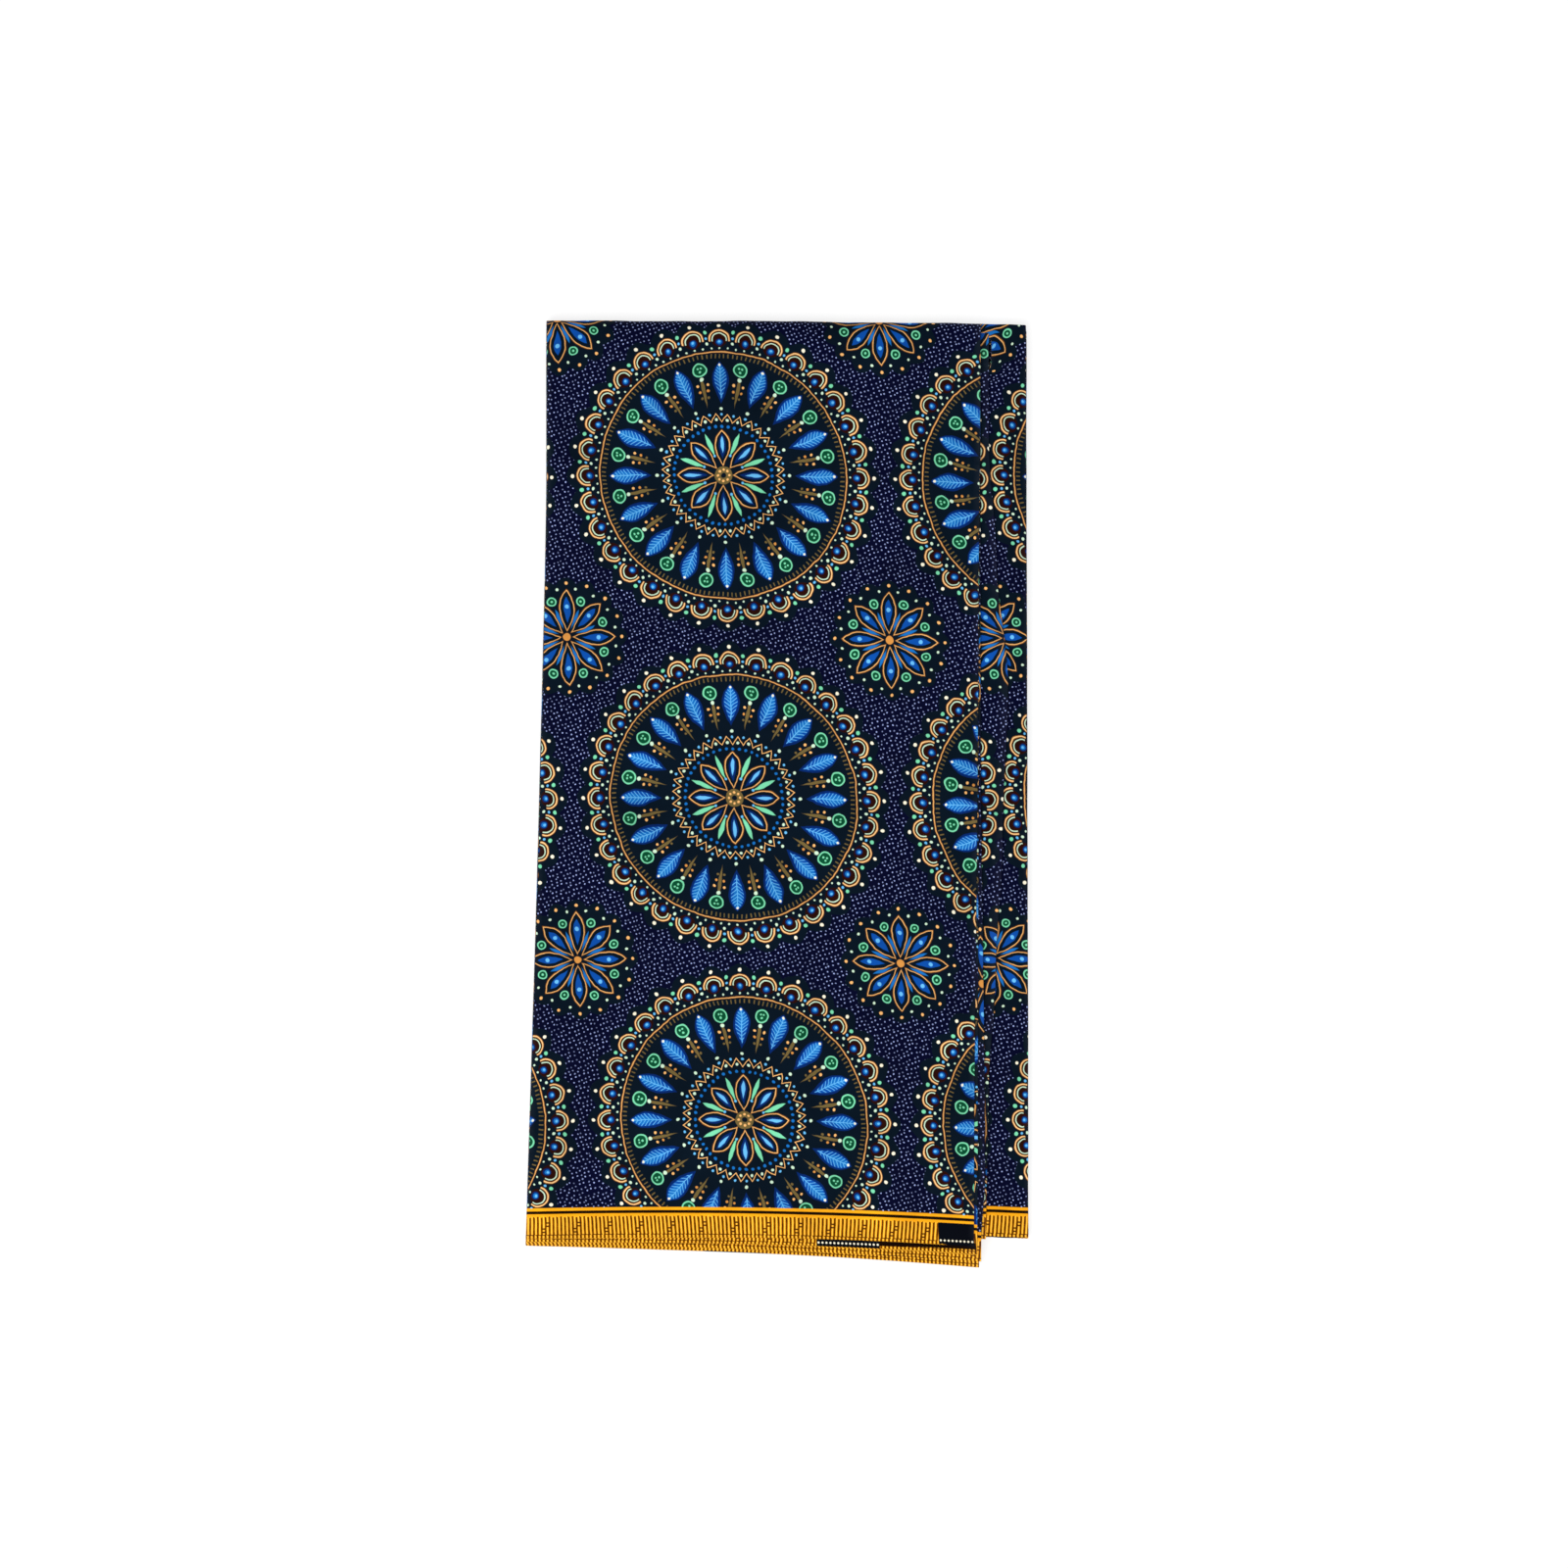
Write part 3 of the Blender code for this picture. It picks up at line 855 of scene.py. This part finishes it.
class Wheel:
    """Places round one centre, repeated by turning. Nodes that its motifs share are made once."""

    def __init__(self, over, up):
        self.tree = over.tree
        self.reach = reach_of(over, up)
        self.turn = up.math("ARCTAN2", over) / (2 * math.pi)
        self.known = {}

    def spoke(self, count, start):
        """Offset across the nearest of the spokes, and distance along it."""
        if (count, start) not in self.known:
            angle = (self.turn * count + start).off_nearest() * (2 * math.pi / count)
            self.known[count, start] = (self.reach * angle.sine(), self.reach * angle.cosine())
        return self.known[count, start]

    def away(self, row):
        """Distance from the nearest motif of a row."""
        over, along = self.spoke(row["count"], row["start"])
        pair = bool(row["apart"])
        if (over, pair) not in self.known:
            self.known[over, pair] = joined(self.tree, abs(over) if pair else over, along)
        node = self.tree.nodes.new("ShaderNodeVectorMath")
        node.operation = "DISTANCE"
        self.tree.links.new(self.known[over, pair], node.inputs[0])
        node.inputs[1].default_value = (row["apart"], row["at"], 0.0)
        return Value(self.tree, node.outputs["Value"])

    def motif(self, row):
        """Mask of one row of a table of motifs."""
        shape, at, long, wide = row["shape"], row["at"], row["long"], row["wide"]
        if shape == "disc":
            return self.reach.below(at)
        if shape == "lobes":
            lobe = abs((self.turn * (math.pi * row["count"])).cosine())
            return (self.reach - lobe * long).below(at)
        if shape == "line":
            return abs(self.reach - at).below(wide)
        if shape == "zigzag":
            sway = ((self.turn * row["count"]).swing(0.5) * 2.0 - 0.5) * long
            return abs(self.reach - at - sway).below(wide)
        if shape == "bead":
            return self.away(row).below(wide)
        over, along = self.spoke(row["count"], row["start"])
        up = along - at
        if shape == "arch":
            return abs(self.away(row) - long).below(wide) * up.above(-ARCH_FOOT * long)
        if shape == "tick":
            return abs(over).below(wide) * abs(up).below(long)
        # A leaf's half width, which tapers to nothing at both its ends
        share = up / long
        fullness = share.math("MAXIMUM", -1.0).math("MULTIPLY_ADD", LEAF_FULLNESS, 1.0)
        belly = (share * share).math("MULTIPLY_ADD", -1.0, 1.0) * fullness
        leaf = (abs(over) - belly * wide).below(0.0)
        if shape == "vein":
            chevron = (up - abs(over) * VEIN_SLANT).swing(VEIN_PITCH / 2).below(VEIN_LINE)
            rib = abs(over).below(VEIN_LINE)
            return leaf * chevron.math("MAXIMUM", rib)
        return leaf


def grid_place(value, pitch, start):
    """Signed distance to the nearest line of a grid."""
    return ((value - start) / pitch).off_nearest() * pitch


def dotted(tree, over, up):
    """Mask of hand-set dots, some of them fainter. Their rows run askew to the cloth."""
    node = tree.nodes.new("ShaderNodeTexVoronoi")
    node.voronoi_dimensions = "2D"
    node.inputs["Scale"].default_value = 1.0 / DOT_PITCH
    node.inputs["Randomness"].default_value = DOT_UNEVENNESS
    place = joined(tree, up.math("MULTIPLY_ADD", DOT_TURN, over), over.math("MULTIPLY_ADD", -DOT_TURN, up))
    tree.links.new(place, node.inputs["Vector"])
    dots = Value(tree, node.outputs["Distance"]).below(DOT_SIZE / DOT_PITCH, DOT_SOFTNESS)
    return dots * between(*DOT_STRENGTH, Value(tree, node.outputs["Color"]))


def border(over, edge, screen):
    """Lays the comb-striped border along a selvedge, with its dark panel and the line of painted shadow
    beyond that.
    """
    sway = (edge * COMB_SWAY["up"]).sine() * COMB_SWAY["size"]
    lean = (over * COMB_LEAN["over"]).sine() * (edge * COMB_LEAN["size"])
    place = over + sway + lean
    cell = grid_place(place, BREAK_PITCH, 0.0)
    phase = (place / COMB_PITCH + edge.below(RIM_HEIGHT) * RIM_OFFSET).swing(0.5)
    bend = (edge * TOOTH_WAVER["up"]).sine() * TOOTH_WAVER["bend"]
    thick = (over * TOOTH_WAVER["over"] + bend).sine() * TOOTH_WAVER["size"] + TOOTH
    top = (over * COMB_TOP_WAVER["over"]).sine() * COMB_TOP_WAVER["size"]
    comb = (edge + top).below(COMB_HEIGHT)

    screen.lay(GOLDEN, edge.below(BORDER_HEIGHT))
    screen.lay(STRAW, phase.above(STRIPE_GLEAM, COMB_SOFTNESS) * comb)
    screen.lay(AMBER, phase.below(TOOTH_SHADE, COMB_SOFTNESS) * comb)
    screen.lay(UMBER, phase.below(thick, COMB_SOFTNESS) * comb)

    for bar in BREAK_BARS:
        wide = abs(cell - bar["over"]).below(BREAK_BAR["wide"])
        screen.lay(UMBER, wide * abs(edge - bar["up"]).below(BREAK_BAR["high"]))
    dashes = (over / RIM_GAP["pitch"]).swing(0.5).above(RIM_GAP["wide"], RIM_GAP["soft"])
    screen.lay(UMBER, abs(edge - RIM_HEIGHT).below(RIM_LINE) * dashes)
    screen.lay(EARTH, edge.inside(*BORDER_LINE))

    screen.lay(NIGHT, over.inside(*PANEL_SPAN) * edge.below(PANEL_HEIGHT))
    dots = reach_of(grid_place(over, PANEL_DOT_PITCH, 0.0), edge - PANEL_DOT_PLACE).below(PANEL_DOT)
    screen.lay(CREAM, dots * over.inside(*PANEL_SPAN))
    # A rising line of painted shadow, dark where the front ply's selvedge would shade the ply under it
    shadow_line = edge - (over - SELVEDGE_SHADOW_LINE["over"][0]) * SELVEDGE_SHADOW_LINE["rise"]
    screen.lay(EARTH, over.inside(*SELVEDGE_SHADOW_LINE["over"]) * shadow_line.inside(*SELVEDGE_SHADOW_LINE["up"]))


def wax_print(name):
    """The printed cotton: its dyes, their uneven shade, its weave and its faint gloss."""
    material = bpy.data.materials.new(name)
    material.use_nodes = True
    tree = material.node_tree
    shader = tree.nodes["Principled BSDF"]
    cloth = tree.nodes.new("ShaderNodeAttribute")
    cloth.attribute_name = "cloth"
    split = tree.nodes.new("ShaderNodeSeparateXYZ")
    tree.links.new(cloth.outputs["Vector"], split.inputs["Vector"])
    over, up, edge = [Value(tree, split.outputs[axis]) * (1.0 / MM) for axis in "XYZ"]
    flat = joined(tree, over, up)
    # Another place in the noise, so that the print strays up and over each in its own way
    turned = joined(tree, up + REPEAT, over)

    def by_hand(value, place):
        hand = (noise(tree, place, HAND_SIZE, HAND_DETAIL) - 0.5) * HAND_SHAKE
        cut = (noise(tree, place, CUT_SIZE) - 0.5) * CUT_SHAKE
        return value + hand + cut

    hand_over = by_hand(over, flat)
    hand_up = by_hand(up, turned)
    screen = Print(tree, GROUND)
    screen.lay(LAVENDER, dotted(tree, hand_over, hand_up))
    for start, table in ((0.5, STAR), (0.0, ROSETTE)):
        wheel = Wheel(
            grid_place(hand_over, REPEAT, FIRST_OVER + start * REPEAT),
            grid_place(hand_up, REPEAT, FIRST_UP + start * REPEAT),
        )
        for row in table:
            motif = dict(zip(MOTIF, row))
            screen.lay(motif["dye"], wheel.motif(motif))
    border(over, edge, screen)
    fold = tree.nodes.new("ShaderNodeAttribute")
    fold.attribute_name = "fold"
    wear = noise(tree, flat, WEAR_SIZE, WEAR_DETAIL)
    screen.lay(WORN, Value(tree, fold.outputs["Fac"]) * wear * FOLD_WEAR)

    blotch = between(*BLOTCH_SHADES, noise(tree, flat, BLOTCH_SIZE, BLOTCH_DETAIL, BLOTCH_CLARITY))
    weave = (over * (math.pi / THREAD)).sine() * (up * (math.pi / THREAD)).sine()
    shade = blotch * (weave * WEAVE_SHADE + 1.0)
    shaded = mixed(tree, "MULTIPLY", 1.0, screen.colour, shade.socket)
    tree.links.new(shaded, shader.inputs["Base Color"])

    bump = tree.nodes.new("ShaderNodeBump")
    bump.inputs["Strength"].default_value = WEAVE_STRENGTH
    bump.inputs["Distance"].default_value = WEAVE_DEPTH * MM
    tree.links.new(weave.socket, bump.inputs["Height"])
    tree.links.new(bump.outputs["Normal"], shader.inputs["Normal"])
    gloss = between(*GLOSS_ROUGHNESS, noise(tree, flat, GLOSS_SIZE, GLOSS_DETAIL))
    tree.links.new(gloss.socket, shader.inputs["Roughness"])
    shader.inputs["Specular IOR Level"].default_value = GLAZE
    shader.inputs["Sheen Weight"].default_value = NAP
    shader.inputs["Sheen Roughness"].default_value = NAP_ROUGHNESS
    return material


def flat_size(row):
    """Width all round the tube, and length from selvedge to selvedge."""
    girth = 2 * (FRONT_WIDTH if whole(row) else PANEL_WIDTH - STRIP_INNER_UNDER)
    return girth, CLOTH_LENGTH


def place_cloth():
    """Makes every pleat of the pack."""
    cotton = wax_print(SLOT)
    for number, row in enumerate(PLEATS + STRIPS):
        shells = pleat(row, number) if whole(row) else strip(row, number)
        thing = build(shells, row)
        thing.data.materials.append(cotton)
        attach(thing, BODY)
        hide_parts(row.get("node", "hidden_layers"))
        flat_size(row)


def studio():
    """A pale floor, a soft dome, one broad light and the camera straight above."""
    bpy.ops.mesh.primitive_plane_add(size=FLOOR_SIZE, location=(0, 0, -FLOOR_DROP))
    floor = bpy.context.object
    floor.name = "studio_floor"
    paper = bpy.data.materials.new("studio_floor")
    paper.use_nodes = True
    surface = paper.node_tree.nodes["Principled BSDF"].inputs
    surface["Base Color"].default_value = (FLOOR_SHADE, FLOOR_SHADE, FLOOR_SHADE, 1.0)
    surface["Roughness"].default_value = FLOOR_ROUGHNESS
    surface["Specular IOR Level"].default_value = FLOOR_GLOSS
    surface["Emission Color"].default_value = WHITE
    surface["Emission Strength"].default_value = FLOOR_GLOW
    floor.data.materials.append(paper)

    world = bpy.data.worlds.new("studio")
    world.use_nodes = True
    background = world.node_tree.nodes["Background"].inputs
    background["Color"].default_value = WHITE
    background["Strength"].default_value = DOME_STRENGTH
    bpy.context.scene.world = world

    lamp = bpy.data.lights.new("broad_light", "AREA")
    lamp.shape = "SQUARE"
    lamp.size = LAMP_SIZE
    lamp.energy = LAMP_POWER
    light = bpy.data.objects.new("broad_light", lamp)
    light.location = LAMP_PLACE
    light.rotation_euler = (-light.location).to_track_quat("-Z", "Y").to_euler()
    bpy.context.scene.collection.objects.link(light)

    lens = bpy.data.cameras.new("camera")
    lens.lens = CAMERA_LENS
    camera = bpy.data.objects.new("camera", lens)
    camera.location = (*CAMERA_PLACE, PACK_HEIGHT + VIEW_WIDTH * CAMERA_LENS / lens.sensor_width)
    bpy.context.scene.collection.objects.link(camera)
    bpy.context.scene.camera = camera
    bpy.context.scene.view_settings.view_transform = "Standard"


place_cloth()
studio()
